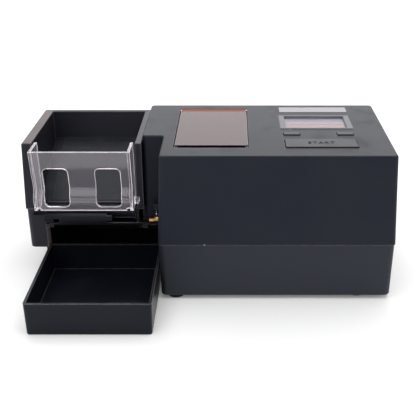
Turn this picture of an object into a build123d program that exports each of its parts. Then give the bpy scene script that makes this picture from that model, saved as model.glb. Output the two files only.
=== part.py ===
from build123d import *
from math import cos, pi, radians, sin, tan
import os

# Table-top tube filling machine, in millimetres, +Z up.
# While a piece is made, x = 0 is the left edge of the main body's top, y = 0 is its front edge
# and z = 0 is the table. write() then moves it so that the whole machine is centred on the origin.

# ---------------------------------------------------------------- main body
body_length = 219.5          # top face, along x
body_depth = 163.0           # top face, along y
body_height = 148.0
seam_z = 59.3                # joint between the cover and the base
cover_draft = 2.3            # degrees, each side leans out on the way down
base_draft = 1.0             # degrees, each side leans in on the way down
foot_height = 3.5
wall = 2.5
top_wall = 3.0
corner_radius = 4.0
edge_radius = 2.2
seam_gap = 0.4
neck_length = 20.8           # the rear part of the cover reaches this far left
neck_front = 58.0

# ---------------------------------------------------------------- hopper module
hopper_length = 116.3        # outside, at its rim
hopper_height = 142.7
hopper_front = 50.0
hopper_part_z = 73.7         # joint between the hopper shell and the left base
hopper_left_wall = 9.3
hopper_right_wall = 6.5
hopper_back_wall = 7.0
module_gap = 0.2             # between the hopper shell and the neck of the cover
module_draft = 2.0
pillar_width = 19.2
pillar_depth = 13.0
pillar_bottom = 31.0
module_lean = 0.8            # degrees, outer walls of the left base
module_skin = 3.0
arch_front = 69.0            # the side wall's lower edge falls from here to the rear foot
arch_back = 132.0
module_foot_radius = 5.5
pillar_radius = 6.0          # upright corner at the front left
module_radius = 3.0          # the other upright corners
shelf_z = 57.4               # top of the bay roof
shelf_thickness = 1.8
ramp_foot_y = 68.5
ramp_foot_z = 75.5
ramp_back_z = 113.9
ramp_thickness = 2.5
ramp_clearance = 0.3
strip_width = 11.2
strip_drop = 0.8

# ---------------------------------------------------------------- tube station
station_y = 48.0             # axis of the tube, the nozzle and the injector rod
station_z = 63.0
nozzle_radius = 3.8
nozzle_bore = 3.4
nozzle_reach = 16.5          # tip to the main body's side
collar_radius = 5.2
collar_reach = 6.0
guard_inner = 4.8
guard_wall = 1.7
guard_end_x = -58.5
flap_left = -115.5
flap_right = -22.5
flap_inner = 4.6
flap_wall = 1.2
flap_pin_y = 48.4
flap_pin_z = 56.3
flap_pin_radius = 1.0
flap_arm = 3.0
flap_relief = 2.9            # room behind the pins for the arms to turn
lug_width = 4.0
running_fit = 0.05           # radial play of a shaft in its bore

# ---------------------------------------------------------------- clear hopper lid
lid_side_gap = 1.5           # to the hopper's left wall
lid_length = 96.5
lid_wall = 2.5
lid_top = (29.5, 141.0)      # y, z of the front face
lid_crease = (37.0, 101.0)
lid_shoulder = (33.0, 93.5)
lid_bottom = (33.5, 79.0)
cheek_top_y = 58.5
cheek_low = (62.0, 88.0)
lid_pivot_y = 52.0
lid_pivot_z = 82.6
boss_radius = 3.6
boss_length = 4.6
window_width = 24.6
window_spread = 50.6
window_z0 = 82.8
window_z1 = 123.0
window_corner = 5.0

# ---------------------------------------------------------------- feed drum and its drive
drum_y = 60.0
drum_z = 69.0
drum_radius = 9.0
drum_left = -119.5
drum_gear_x = -33.0
gear_width = 3.0
feed_module = 1.0
drum_gear_teeth = 18
feed_pinion_teeth = 11
gear_play = 0.35
feed_angle = -19.0           # direction from the drum to the feed pinion
journal_radius = 2.5
feed_motor_radius = 5.8
feed_motor_length = 30.0

# ---------------------------------------------------------------- catch tray
tray_left = -120.1
tray_length = 115.6
tray_front = -67.2
tray_depth = 121.8
tray_height = 32.5
tray_wall = 2.4
tray_draft = 1.0
tray_travel = 95.0
tray_lift = 2.2              # the tray stands on a foot along its front and clears the bay's floor
bay_floor_z = 0.5
bay_floor_thickness = 1.1
bay_skin = 2.0
bay_step = 0.6               # the bay's side wall lies this far behind the pillar's inner face

# ---------------------------------------------------------------- top of the main body
smoked_left = 13.0
smoked_length = 69.1
smoked_front = 29.5
smoked_depth = 117.5
smoked_thickness = 3.0
smoked_proud = 0.3
smoked_gap = 1.2
lip_pocket = 6.0             # finger slot in front of the lid
lip_pocket_deep = 2.3
lug_reach = 3.5              # the lid's corner lugs reach into the finger slot
smoked_pin_radius = 0.8
smoked_pin_length = 7.0
bezel_left = 115.5
bezel_length = 73.0
bezel_front = 79.0
bezel_depth = 44.0
bezel_side = 5.6
bezel_front_side = 3.2
bezel_proud = 0.5
bezel_seat = 1.5
glass_thickness = 2.2
key_gap = 0.7
small_key_length = 15.8
small_key_depth = 7.6
small_key_front = 59.4
start_front = 23.3
start_depth = 22.7
start_inset = 2.4
key_proud = 1.0
key_travel = 1.0
name_left = 117.5
name_length = 71.5
name_front = 135.4
name_depth = 17.1
name_thickness = 0.5

# ---------------------------------------------------------------- filler chamber
chamber_left = 16.5
chamber_length = 62.0
chamber_wall = 3.0
chamber_front = 33.0
chamber_back = 130.0
channel_front = 44.0
channel_floor = 59.0
channel_roof = 81.5
slope_back_z = 112.0
slope_foot_y = 79.0
channel_end = 84.0
flange_thickness = 2.0
packer_rest = 75.0
packer_travel = 22.0
packer_thickness = 3.0
packer_rack_length = 64.0

# ---------------------------------------------------------------- injector drive
chassis_z = 54.5
chassis_thickness = 1.5
rod_radius = 3.05
rod_tip = 6.5
carriage_left = 191.5
carriage_length = 16.0
carriage_travel = 90.0
rail_radius = 3.0
rail_y = (36.0, 60.0)
rail_z = 48.0
bracket_thickness = 4.0
rack_pitch_z = 37.0
rack_width = 8.0
drive_module = 1.0
drive_teeth = 22
drive_x = 112.0
gearbox_radius = 18.5
gearbox_length = 26.0
motor_radius = 14.0
motor_length = 30.0
drive_bracket_y = 65.0
packer_teeth = 16
packer_pinion_y = 116.0
packer_pitch_z = 65.0

# ---------------------------------------------------------------- electrics
board_z = 126.0
board_thickness = 1.6
foot_radius = 8.0
foot_centres = ((12.0, 8.0), (190.0, 12.0), (12.0, 146.0), (190.0, 146.0))
screw_inset = 6.8
screw_rows = (24.0, 152.0)
supply_left = 138.0
inlet_x = 172.0
switch_x = 128.0
socket_z = 32.0
inlet_size = (27.4, 19.8)
switch_size = (21.0, 14.6)
rocker_tilt = 8.0
rocker_depth = 2.5
rocker_pin_radius = 1.0
rocker_pin_reach = 6.3

# ---------------------------------------------------------------- worked out from the above
cover_flare = (body_height - seam_z) * tan(radians(cover_draft))
base_inset = (seam_z - foot_height) * tan(radians(base_draft))
hopper_flare = (hopper_height - hopper_part_z) * tan(radians(module_draft))
neck_left = -neck_length
hopper_right = neck_left - module_gap
hopper_left = hopper_right - hopper_length
inner_left = hopper_left + hopper_left_wall
inner_right = hopper_right - hopper_right_wall
inner_back = body_depth - hopper_back_wall
lid_left = inner_left + lid_side_gap
lid_right = lid_left + lid_length
pillar_right = hopper_left - hopper_flare + pillar_width
side_at_seam = -cover_flare
screw_centres = [(x, y) for x in (screw_inset, body_length - screw_inset) for y in screw_rows]
outer_left = hopper_left - hopper_flare
outer_right = body_length + cover_flare
outer_back = body_depth + cover_flare
centre_x = (outer_left + outer_right) / 2
centre_y = (tray_front + outer_back) / 2
carriage_right = carriage_left + carriage_length
rail_left = carriage_left - carriage_travel - 6.5
rack_length = carriage_travel + 11.0
packer_shelf = packer_travel + 4.0      # roof of the plate, longer than its travel


def write(name, shape):
    """Centres a piece on the machine's origin and writes it to its own file."""
    moved = Location((-centre_x, -centre_y, 0)) * shape
    solids = moved.solids()
    export_step(solids[0] if len(solids) == 1 else Compound(children=solids), f"parts/{name}.step")


def block(x0, x1, y0, y1, z0, z1):
    centre = Pos((x0 + x1) / 2, (y0 + y1) / 2, (z0 + z1) / 2)
    return centre * Box(x1 - x0, y1 - y0, z1 - z0)


def bar_x(x0, x1, y, z, radius):
    return Pos((x0 + x1) / 2, y, z) * Rot(0, 90, 0) * Cylinder(radius, x1 - x0)


def bar_y(x, y0, y1, z, radius):
    return Pos(x, (y0 + y1) / 2, z) * Rot(90, 0, 0) * Cylinder(radius, y1 - y0)


def bar_z(x, y, z0, z1, radius):
    return Pos(x, y, (z0 + z1) / 2) * Cylinder(radius, z1 - z0)


def outline(points, plane):
    return plane * make_face(Polyline(*points, close=True))


def side_profile(points, x0, x1):
    """Prism along x from a list of (y, z) points."""
    plane = Plane(origin=(x0, 0, 0), x_dir=(0, 1, 0), z_dir=(1, 0, 0))
    return extrude(outline(points, plane), x1 - x0)


def front_profile(points, y0, y1):
    """Prism along y from a list of (x, z) points."""
    plane = Plane(origin=(0, y1, 0), x_dir=(1, 0, 0), z_dir=(0, -1, 0))
    return extrude(outline(points, plane), y1 - y0)


def tapered(points_low, points_high, z0, z1):
    """Straight-sided body between two outlines with the same corners."""
    low = outline(points_low, Plane.XY.offset(z0))
    high = outline(points_high, Plane.XY.offset(z1))
    return loft([low, high], ruled=True)


def rectangle(x0, x1, y0, y1, grow=0.0):
    x0, x1, y0, y1 = x0 - grow, x1 + grow, y0 - grow, y1 + grow
    return [(x0, y0), (x1, y0), (x1, y1), (x0, y1)]


def upright_edges(shape):
    """Edges that run from bottom to top of a drafted body."""
    return [e for e in shape.edges() if abs((e @ 1 - e @ 0).Z) > 0.9 * e.length]


def edges_at_z(shape, z):
    return [e for e in shape.edges() if abs((e @ 0).Z - z) < 0.01 and abs((e @ 1).Z - z) < 0.01]


def gear_outline(teeth, module, phase):
    """Slim straight-flanked teeth, with play all round. phase is the angle of one tooth."""
    pitch = teeth * module / 2
    root, tip = pitch - 1.1 * module, pitch + 0.85 * module
    half_root, half_tip = 0.30 * 2 * pi / teeth, 0.11 * 2 * pi / teeth
    points = []
    for i in range(teeth):
        mid = radians(phase) + 2 * pi * i / teeth
        for radius, turn in ((root, -half_root), (tip, -half_tip), (tip, half_tip), (root, half_root)):
            points.append((radius * cos(mid + turn), radius * sin(mid + turn)))
    return points


def gear_x(x0, x1, y, z, teeth, module, phase=0.0):
    points = [(y + a, z + b) for a, b in gear_outline(teeth, module, phase)]
    return side_profile(points, x0, x1)


def gear_y(x, y0, y1, z, teeth, module, phase=0.0):
    points = [(x + a, z + b) for a, b in gear_outline(teeth, module, phase)]
    return front_profile(points, y0, y1)


def rack_outline(start, length, pitch_line, back, module, tooth_at, up):
    """Rack teeth along the first axis; up is +1 when they point to +z and -1 when down."""
    step = pi * module
    root, tip = pitch_line - up * 1.1 * module, pitch_line + up * 0.85 * module
    half_root, half_tip = 0.30 * step, 0.11 * step
    points = [(start, back), (start, root)]
    tooth = tooth_at + step * round((start + step - tooth_at) / step)
    while tooth + half_root < start + length:
        if tooth - half_root > start:
            points += [(tooth - half_root, root), (tooth - half_tip, tip),
                       (tooth + half_tip, tip), (tooth + half_root, root)]
        tooth += step
    return points + [(start + length, root), (start + length, back)]


# ---------------------------------------------------------------- casings

def cover_outline(grow):
    """L-shaped plan of the cover; the side of the neck stands straight."""
    left, front, neck = -grow, -grow, neck_front - grow
    right, back = body_length + grow, body_depth + grow
    return [(left, front), (right, front), (right, back), (neck_left, back), (neck_left, neck), (left, neck)]


def cover_cavity_outline(grow):
    left, front, neck = wall - grow, wall - grow, neck_front + wall - grow
    right, back = body_length - wall + grow, body_depth - wall + grow
    inner_neck = neck_left + wall
    return [(left, front), (right, front), (right, back), (inner_neck, back), (inner_neck, neck), (left, neck)]


def key_cut(x, y, length, depth):
    return block(x - key_gap, x + length + key_gap, y - key_gap, y + depth + key_gap,
                 body_height - top_wall - 1, body_height + 1)


def small_key_places():
    left = bezel_left + start_inset
    return left, bezel_left + bezel_length - start_inset - small_key_length


def make_top_cover():
    shell = tapered(cover_outline(cover_flare), cover_outline(0), seam_z, body_height)
    shell = fillet(upright_edges(shell), corner_radius)
    shell = fillet(edges_at_z(shell, body_height), edge_radius)
    ceiling = body_height - top_wall
    low = -(ceiling - seam_z) * tan(radians(cover_draft))
    shell -= tapered(cover_cavity_outline(-low), cover_cavity_outline(0), seam_z - 0.01, ceiling)
    gap = smoked_gap
    shell -= block(smoked_left - gap, smoked_left + smoked_length + gap, smoked_front - gap,
                   smoked_front + smoked_depth + gap, ceiling - 1, body_height + 1)
    shell -= block(smoked_left - gap, smoked_left + smoked_length + gap, smoked_front - lip_pocket,
                   smoked_front, body_height - lip_pocket_deep, body_height + 1)
    for x in smoked_pin_places():
        shell -= bar_x(x - 0.2, x + smoked_pin_length + 0.2, smoked_axis_y(), smoked_axis_z(),
                       smoked_pin_radius + 0.02)
    shell -= block(bezel_left, bezel_left + bezel_length, bezel_front, bezel_front + bezel_depth,
                   body_height - bezel_seat, body_height + 1)
    shell -= block(bezel_left + bezel_side, bezel_left + bezel_length - bezel_side,
                   bezel_front + bezel_front_side, bezel_front + bezel_depth - bezel_front_side,
                   ceiling - 1, body_height + 1)
    start_x = bezel_left + start_inset
    shell -= key_cut(start_x, start_front, bezel_length - 2 * start_inset, start_depth)
    for x in small_key_places():
        shell -= key_cut(x, small_key_front, small_key_length, small_key_depth)
    shell -= block(name_left, name_left + name_length, name_front, name_front + name_depth,
                   body_height - 0.2, body_height + 1)
    shell -= bar_x(-cover_flare - 2, wall + 4, station_y, station_z, collar_radius + 0.05)
    for x, y in screw_centres:
        shell += bar_z(x, y, seam_z + 1, ceiling + 0.5, 3.6) - bar_z(x, y, seam_z, seam_z + 16, 1.5)
    return shell


def make_base_tub():
    top = seam_z - seam_gap
    shrink = 0.5
    full = rectangle(side_at_seam, body_length + cover_flare, -cover_flare, body_depth + cover_flare, -shrink)
    foot = rectangle(side_at_seam, body_length + cover_flare, -cover_flare, body_depth + cover_flare,
                     -shrink - base_inset)
    tub = tapered(foot, full, foot_height, top)
    tub = fillet(upright_edges(tub), corner_radius + 1.5)
    tub = fillet(edges_at_z(tub, foot_height), edge_radius)
    inner_low = rectangle(side_at_seam, body_length + cover_flare, -cover_flare, body_depth + cover_flare,
                          -shrink - base_inset - wall)
    inner_high = rectangle(side_at_seam, body_length + cover_flare, -cover_flare, body_depth + cover_flare,
                           -shrink - wall)
    tub -= tapered(inner_low, inner_high, foot_height + wall, top + 0.01)
    tub -= bar_x(-cover_flare - 2, wall + 4, station_y, station_z, collar_radius + 0.05)
    back = body_depth + cover_flare
    tub -= block(inlet_x - inlet_size[0] / 2, inlet_x + inlet_size[0] / 2, back - 12, back + 1,
                 socket_z - inlet_size[1] / 2, socket_z + inlet_size[1] / 2)
    tub -= block(switch_x - switch_size[0] / 2, switch_x + switch_size[0] / 2, back - 12, back + 1,
                 socket_z - switch_size[1] / 2, socket_z + switch_size[1] / 2)
    for i in range(8):
        x = 30 + 8 * i
        tub -= block(x, x + 3, back - 12, back + 1, 18, 44)
    floor = foot_height + wall
    for x, y in screw_centres:
        tub += bar_z(x, y, floor - 0.5, seam_z - 1, 4.5)
        tub -= bar_z(x, y, foot_height - 1, seam_z, 1.7)
        tub -= bar_z(x, y, foot_height - 1, foot_height + 7, 3.6)
    for x, y in chassis_posts():
        tub += bar_z(x, y, floor - 0.5, chassis_z, 3.5)
    for x, y in foot_centres:
        tub -= bar_z(x, y, foot_height - 1, foot_height + 0.6, foot_radius + 0.1)
    return tub


def chassis_posts():
    return ((22.0, 18.0), (196.0, 18.0), (22.0, 134.0), (supply_left - 6, 134.0))


def make_hopper_shell():
    back = body_depth
    low = [(hopper_left - hopper_flare, hopper_front), (hopper_right, hopper_front),
           (hopper_right, back + hopper_flare), (hopper_left - hopper_flare, back + hopper_flare)]
    high = [(hopper_left, hopper_front), (hopper_right, hopper_front), (hopper_right, back), (hopper_left, back)]
    shell = tapered(low, high, hopper_part_z, hopper_height)
    outer = [e for e in upright_edges(shell) if (e @ 0).X < hopper_right - 1 or (e @ 0).Y > back - 1]
    shell = fillet([e for e in outer if (e @ 0).Y > back - 1], 3.0)
    shell -= block(inner_left, inner_right, hopper_front - 1, inner_back, hopper_part_z - 1, hopper_height + 1)
    rim = [e for e in edges_at_z(shell, hopper_height)]
    shell = fillet(rim, 1.0)
    # the thick left wall is hollow from below
    shell -= block(hopper_left + 1.2, inner_left - 2.5, hopper_front + 2.5, back - 2.5,
                   hopper_part_z - 1, hopper_height - 3)
    slot_half = boss_radius + 0.4
    for x0, x1 in ((inner_left - 3.4, inner_left + 1), (inner_right - 1, inner_right + 3.4)):
        shell -= block(x0, x1, hopper_front - 1, lid_pivot_y, lid_pivot_z - slot_half, lid_pivot_z + slot_half)
        shell -= bar_x(x0, x1, lid_pivot_y, lid_pivot_z, slot_half)
    return shell


def module_foot_centre():
    """The fifth foot stands under the rear left corner of the left base."""
    lean = (hopper_part_z - foot_height) * tan(radians(module_lean))
    return outer_left + lean + module_foot_radius + 1.0, body_depth - 12.0


def make_left_base():
    """Lower part of the hopper module: pillar, outer walls, bay roof and the tube station."""
    skin, low_z, top_z = module_skin, foot_height, hopper_part_z
    roof_low = shelf_z - shelf_thickness
    lean_low = (top_z - low_z) * tan(radians(module_lean))
    lean_mid = (top_z - shelf_z) * tan(radians(module_lean))
    back = body_depth + hopper_flare
    right = side_at_seam + seam_gap
    right_low = right + (shelf_z - low_z) * tan(radians(base_draft))
    front = hopper_front
    lower = tapered([(outer_left + lean_low, front), (right_low, front), (right_low, back - lean_low),
                     (outer_left + lean_low, back - lean_low)],
                    [(outer_left + lean_mid, front), (right, front), (right, back - lean_mid),
                     (outer_left + lean_mid, back - lean_mid)], low_z, shelf_z)
    upper = tapered([(outer_left + lean_mid, front), (hopper_right, front), (hopper_right, back - lean_mid),
                     (outer_left + lean_mid, back - lean_mid)],
                    [(outer_left, front), (hopper_right, front), (hopper_right, back), (outer_left, back)],
                    shelf_z, top_z)
    shape = lower + upper
    # the side wall stops above the table and falls to the rear foot in a straight line
    arch = [(front - 1, 0), (front - 1, pillar_bottom), (arch_front, pillar_bottom), (arch_back, low_z - 0.01),
            (arch_back, 0)]
    bay_left = pillar_right - bay_skin
    shape -= side_profile(arch, outer_left - 1, bay_left)
    left_edges = [e for e in upright_edges(shape) if (e @ 0).X < outer_left + lean_low + 1]
    shape = fillet([e for e in left_edges if (e @ 0).Y < arch_front], pillar_radius)
    left_edges = [e for e in upright_edges(shape) if (e @ 0).X < outer_left + lean_low + 1]
    shape = fillet([e for e in left_edges if (e @ 0).Y > arch_back], module_radius)
    # tray bay: a box open at the front, with a side wall and a floor of its own, and a hollow left of it
    inner_back = body_depth - 6.0
    shape += block(bay_left, right, front, inner_back + 1, bay_floor_z, low_z + 1)
    shape -= block(outer_left + lean_low + skin, bay_left, front + pillar_depth, inner_back, 0, roof_low)
    shape -= block(pillar_right, right + 5, front - 1, inner_back, bay_floor_z + bay_floor_thickness, roof_low)
    # the pillar stands a little proud of the bay's side wall
    shape -= block(pillar_right - bay_step, pillar_right + 1, front + pillar_depth, inner_back,
                   bay_floor_z + bay_floor_thickness, roof_low)
    # space above the shelf for the drum and its drive, open at the front
    wall_end = arch_front - 2
    side = hopper_right - 2.5
    shape -= block(outer_left + skin, pillar_right - skin, front + skin, inner_back, shelf_z, top_z + 1)
    shape -= block(pillar_right - skin - 1, side, wall_end, inner_back, shelf_z, top_z + 1)
    shape -= block(pillar_right, side, front - 1, wall_end + 1, shelf_z, top_z + 1)
    shape -= block(side - 1, hopper_right + 1, front - 1, neck_front + 2, shelf_z, top_z + 1)
    foot_x, foot_y = module_foot_centre()
    pad = block(outer_left + lean_low + 1, foot_x + module_foot_radius + 0.5, foot_y - module_foot_radius - 0.5,
                inner_back + 0.5, low_z, low_z + 4)
    shape += pad
    # rib that carries the right end of the drum
    rib_x = drum_gear_x + gear_width + 0.6
    shape += block(rib_x, rib_x + 2.4, drum_y - 7, drum_y + 7, shelf_z - 0.5, top_z)
    shape -= bar_x(rib_x - 1, rib_x + 3.4, drum_y, drum_z, journal_radius + running_fit)
    shape -= bar_x(pillar_right - skin - 1, pillar_right + 1, drum_y, drum_z, journal_radius + running_fit)
    # lugs for the flap's pins
    for x in (pillar_right, flap_right + 0.4):
        lug = block(x, x + lug_width, flap_pin_y - 2.6, front + 0.5, roof_low - 1.2, flap_pin_z + 2.2)
        shape += lug - bar_x(x - 1, x + lug_width + 1, flap_pin_y, flap_pin_z, flap_pin_radius + running_fit)
    # the shelf's edge gives way to the flap's arms
    for x in (flap_left, flap_right - flap_arm):
        shape -= block(x - 0.4, x + flap_arm + 0.4, front - 1, flap_pin_y + flap_relief, roof_low - 2, top_z)
    return shape


def make_hopper_ramp():
    slope = (ramp_back_z - ramp_foot_z) / (inner_back - ramp_foot_y)
    run = inner_back - ramp_clearance
    top_back = ramp_foot_z + slope * (run - ramp_foot_y)
    profile = [(ramp_foot_y, ramp_foot_z), (run, top_back), (run, top_back - ramp_thickness),
               (ramp_foot_y + 0.9, ramp_foot_z - ramp_thickness + 0.4)]
    left = inner_left + strip_width
    ramp = side_profile(profile, left + 0.3, inner_right - ramp_clearance)
    rib = [(run, top_back - 1), (run, top_back - 12), (run - 2.5, top_back - 12), (run - 2.5, top_back - 1)]
    return ramp + side_profile(rib, left + 6, inner_right - 6)


def make_ramp_strip():
    slope = (ramp_back_z - ramp_foot_z) / (inner_back - ramp_foot_y)
    run = inner_back - ramp_clearance
    foot = ramp_foot_z - strip_drop
    back = ramp_foot_z + slope * (run - ramp_foot_y) - strip_drop
    profile = [(ramp_foot_y, foot), (run, back), (run, back - ramp_thickness),
               (ramp_foot_y + 0.9, foot - ramp_thickness + 0.4)]
    return side_profile(profile, inner_left + ramp_clearance, inner_left + strip_width)


# ---------------------------------------------------------------- clear hopper lid

def lid_front_curve():
    """Front face of the lid in the y-z plane, from its top to its bottom."""
    return [lid_top, lid_crease, lid_shoulder, lid_bottom]


def panel_profile(x0, x1):
    """The bent front panel with its thickness."""
    front = lid_front_curve()
    plane = Plane(origin=(x0, 0, 0), x_dir=(0, 1, 0), z_dir=(1, 0, 0))
    back = [(y + lid_wall, z) for y, z in front]
    face = make_face(Polyline(*front, *reversed(back), close=True))
    bends = [v for v in face.vertices() if 85 < v.Y < 110]
    return extrude(plane * fillet(bends, 4.0), x1 - x0)


def make_hopper_lid():
    panel = panel_profile(lid_left, lid_right)
    top_y, top_z = lid_top
    bottom_y, bottom_z = lid_bottom
    cheek = [lid_top, lid_crease, lid_shoulder, lid_bottom, (bottom_y + 7, bottom_z - 1.5),
             (lid_pivot_y + 1, lid_pivot_z - 5), (lid_pivot_y + 5, lid_pivot_z - 1.5), cheek_low,
             (cheek_top_y, top_z)]
    lid = panel
    for x in (lid_left, lid_right - lid_wall):
        lid += side_profile(cheek, x, x + lid_wall)
    for x0, x1 in ((lid_left - boss_length, lid_left + 1), (lid_right - 1, lid_right + boss_length)):
        boss = bar_x(x0, x1, lid_pivot_y, lid_pivot_z, boss_radius)
        tip = x0 if x0 < lid_left else x1
        lid += fillet([e for e in boss.edges() if abs((e @ 0).X - tip) < 0.1 and e.geom_type == GeomType.CIRCLE], 1.6)
    centre = (lid_left + lid_right) / 2
    for side in (-1, 1):
        x = centre + side * window_spread / 2
        sketch = RectangleRounded(window_width, window_z1 - window_z0, window_corner)
        plane = Plane(origin=(x, bottom_y - 10, (window_z0 + window_z1) / 2), x_dir=(1, 0, 0), z_dir=(0, -1, 0))
        lid -= extrude(plane * sketch, -(cheek_low[0] - bottom_y + 12))
    # stepped lower corners of the front panel
    for x0, x1 in ((lid_left + lid_wall, lid_left + lid_wall + 3.5), (lid_right - lid_wall - 3.5, lid_right - lid_wall)):
        lid -= block(x0, x1, bottom_y - 2, bottom_y + lid_wall + 1, bottom_z - 1, bottom_z + 2.2)
    return lid


# ---------------------------------------------------------------- tube station

def arc_strip(x0, x1, inner, outer, start, end):
    """Part of a tube round the station axis, between two angles."""
    plane = Plane(origin=(x0, station_y, station_z), x_dir=(0, 1, 0), z_dir=(1, 0, 0))
    out = CenterArc((0, 0), outer, start, end - start)
    back = CenterArc((0, 0), inner, start, end - start)
    face = make_face([out, Line(out @ 1, back @ 1), back, Line(back @ 0, out @ 0)])
    return extrude(plane * face, x1 - x0)


def make_tube_guard():
    """Curved guard over the front of the tube, held by the pillar."""
    guard = arc_strip(pillar_right, guard_end_x, guard_inner, guard_inner + guard_wall, 82, 182)
    foot_top = station_z + guard_inner + guard_wall - 0.6
    foot = block(pillar_right - 12, pillar_right + 9, hopper_front - 3.6, hopper_front, shelf_z + 3.5, foot_top)
    guard += foot - bar_x(pillar_right - 14, pillar_right + 12, station_y, station_z, guard_inner)
    guard -= block(pillar_right + 9, pillar_right + 15, station_y - 12, station_y - 2, station_z - 1, station_z + 3)
    return guard


def make_tube_sensor():
    """Small optical sensor with a rounded nose at the right end of the guard."""
    y = station_y - guard_inner + 0.4
    body = block(guard_end_x, guard_end_x + 6.0, y - 1.8, y + 1.2, station_z + 1.4, station_z + 6.0)
    body = fillet([e for e in body.edges() if abs((e @ 0).X - guard_end_x - 6) < 0.1 and abs((e @ 1).X - guard_end_x - 6) < 0.1], 0.8)
    return body


def make_drop_flap():
    """Trough under the tube. It swings down and lets the filled tube fall into the tray."""
    flap = arc_strip(flap_left, flap_right, flap_inner, flap_inner + flap_wall, 195, 275)
    for x in (flap_left, flap_right - flap_arm):
        arm = block(x, x + flap_arm, flap_pin_y - 1.8, flap_pin_y + 1.2, flap_pin_z - 1.4, station_z - flap_inner - 0.5)
        flap += arm - bar_x(x - 1, x + flap_arm + 1, station_y, station_z, flap_inner)
    flap += bar_x(flap_left - lug_width, flap_left + 1, flap_pin_y, flap_pin_z, flap_pin_radius)
    flap += bar_x(flap_right - 1, flap_right + lug_width, flap_pin_y, flap_pin_z, flap_pin_radius)
    return flap


def make_nozzle():
    tip = -nozzle_reach
    tube = bar_x(tip, chamber_left - chamber_wall, station_y, station_z, nozzle_radius)
    tube -= bar_x(tip - 1, chamber_left, station_y, station_z, nozzle_bore)
    # spoon-shaped tip: the upper front of the tube is cut back on a slant
    cut = [(tip - 1, station_z - 0.4), (tip + 4.5, station_z - 0.4), (tip + 9.0, station_z + 5), (tip - 1, station_z + 5)]
    return tube - front_profile(cut, station_y - 6, station_y + 6)


def make_nozzle_collar():
    collar = bar_x(-collar_reach, wall + 1.5, station_y, station_z, collar_radius)
    collar = fillet([e for e in collar.edges() if abs((e @ 0).X + collar_reach) < 0.1
                     and e.geom_type == GeomType.CIRCLE], 0.8)
    return collar - bar_x(-collar_reach - 1, wall + 3, station_y, station_z, nozzle_radius + 0.02)


def side_face(z):
    """x of the main body's left side at a height above the seam."""
    return -(body_height - z) * tan(radians(cover_draft))


def make_clamp_arm():
    """Dark arm that holds the clamp pin over the nozzle."""
    x = -nozzle_reach + 8.0
    low, high = station_z + 12, station_z + 18
    arm = front_profile([(x - 3, low), (side_face(low), low), (side_face(high), high), (x - 3, high)],
                        station_y - 3, station_y + 3)
    arm = fillet([e for e in upright_edges(arm) if (e @ 0).X < x], 2.0)
    return arm - bar_z(x, station_y, station_z + 8, station_z + 16, 1.3 + running_fit)


def make_clamp_pin():
    """Pin that presses the paper on the nozzle."""
    x = -nozzle_reach + 8.0
    pin = bar_z(x, station_y, station_z + nozzle_radius + 1.1, station_z + 14.5, 1.3)
    return pin + bar_z(x, station_y, station_z + nozzle_radius + 1.1, station_z + nozzle_radius + 3.0, 1.9)


# ---------------------------------------------------------------- feed drum and drive

def feed_distance():
    return feed_module * (drum_gear_teeth + feed_pinion_teeth) / 2 + gear_play


def feed_centre():
    angle = radians(feed_angle)
    return drum_y + feed_distance() * cos(angle), drum_z + feed_distance() * sin(angle)


def make_feed_drum():
    drum = bar_x(drum_left, drum_gear_x - 0.5, drum_y, drum_z, drum_radius)
    for i in range(4):
        angle = radians(45 + 90 * i)
        y, z = drum_y + drum_radius * cos(angle), drum_z + drum_radius * sin(angle)
        drum -= bar_x(drum_left - 1, drum_gear_x, y, z, 4.3)
    drum += bar_x(pillar_right - 2.8, drum_left + 1, drum_y, drum_z, journal_radius)
    rib_x = drum_gear_x + gear_width + 0.6
    return drum + bar_x(drum_gear_x - 1, rib_x + 2.2, drum_y, drum_z, journal_radius)


def make_drum_gear():
    gear = gear_x(drum_gear_x, drum_gear_x + gear_width, drum_y, drum_z, drum_gear_teeth, feed_module, feed_angle)
    return gear - bar_x(drum_gear_x - 1, drum_gear_x + gear_width + 1, drum_y, drum_z, journal_radius)


def make_feed_pinion():
    y, z = feed_centre()
    gap_phase = feed_angle + 180 + 180 / feed_pinion_teeth
    gear = gear_x(drum_gear_x, drum_gear_x + gear_width, y, z, feed_pinion_teeth, feed_module, gap_phase)
    return gear + bar_x(drum_gear_x - 5, drum_gear_x + 1, y, z, 1.5)


def make_feed_motor():
    y, z = feed_centre()
    end = drum_gear_x - 1.5
    can = bar_x(end - feed_motor_length, end - 10, y, z, feed_motor_radius)
    box = block(end - 10.5, end, y - 5, y + 5, z - 5.8, z + 5.4)
    seat = block(end - feed_motor_length + 4, end - 6, y - 4, y + 4, shelf_z, z - 3)
    motor = can + box + seat
    return motor - bar_x(end - 6, end + 1, y, z, 1.5 + running_fit)


# ---------------------------------------------------------------- tray

def make_tray():
    left, right = tray_left, tray_left + tray_length
    front, back = tray_front, tray_front + tray_depth
    inset = tray_height * tan(radians(tray_draft))
    tray = tapered(rectangle(left, right, front, back, -inset), rectangle(left, right, front, back), 0, tray_height)
    tray = fillet(upright_edges(tray), 3.0)
    tray = fillet(edges_at_z(tray, 0), 1.6)
    inner_low = rectangle(left, right, front, back, -inset - tray_wall)
    inner_high = rectangle(left, right, front, back, -tray_wall)
    hollow = tapered(inner_low, inner_high, tray_lift + tray_wall, tray_height + 0.01)
    hollow = fillet(upright_edges(hollow), 1.5)
    foot_end = hopper_front - tray_travel - 2.0
    return tray - hollow - block(left - 1, right + 1, foot_end, back + 1, -1, tray_lift)


# ---------------------------------------------------------------- top of the main body

def smoked_axis_y():
    return smoked_front + smoked_depth - smoked_thickness / 2


def smoked_axis_z():
    return body_height + smoked_proud - smoked_thickness / 2


def smoked_pin_places():
    return (smoked_left - smoked_pin_length / 2, smoked_left + smoked_length - smoked_pin_length / 2)


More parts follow.
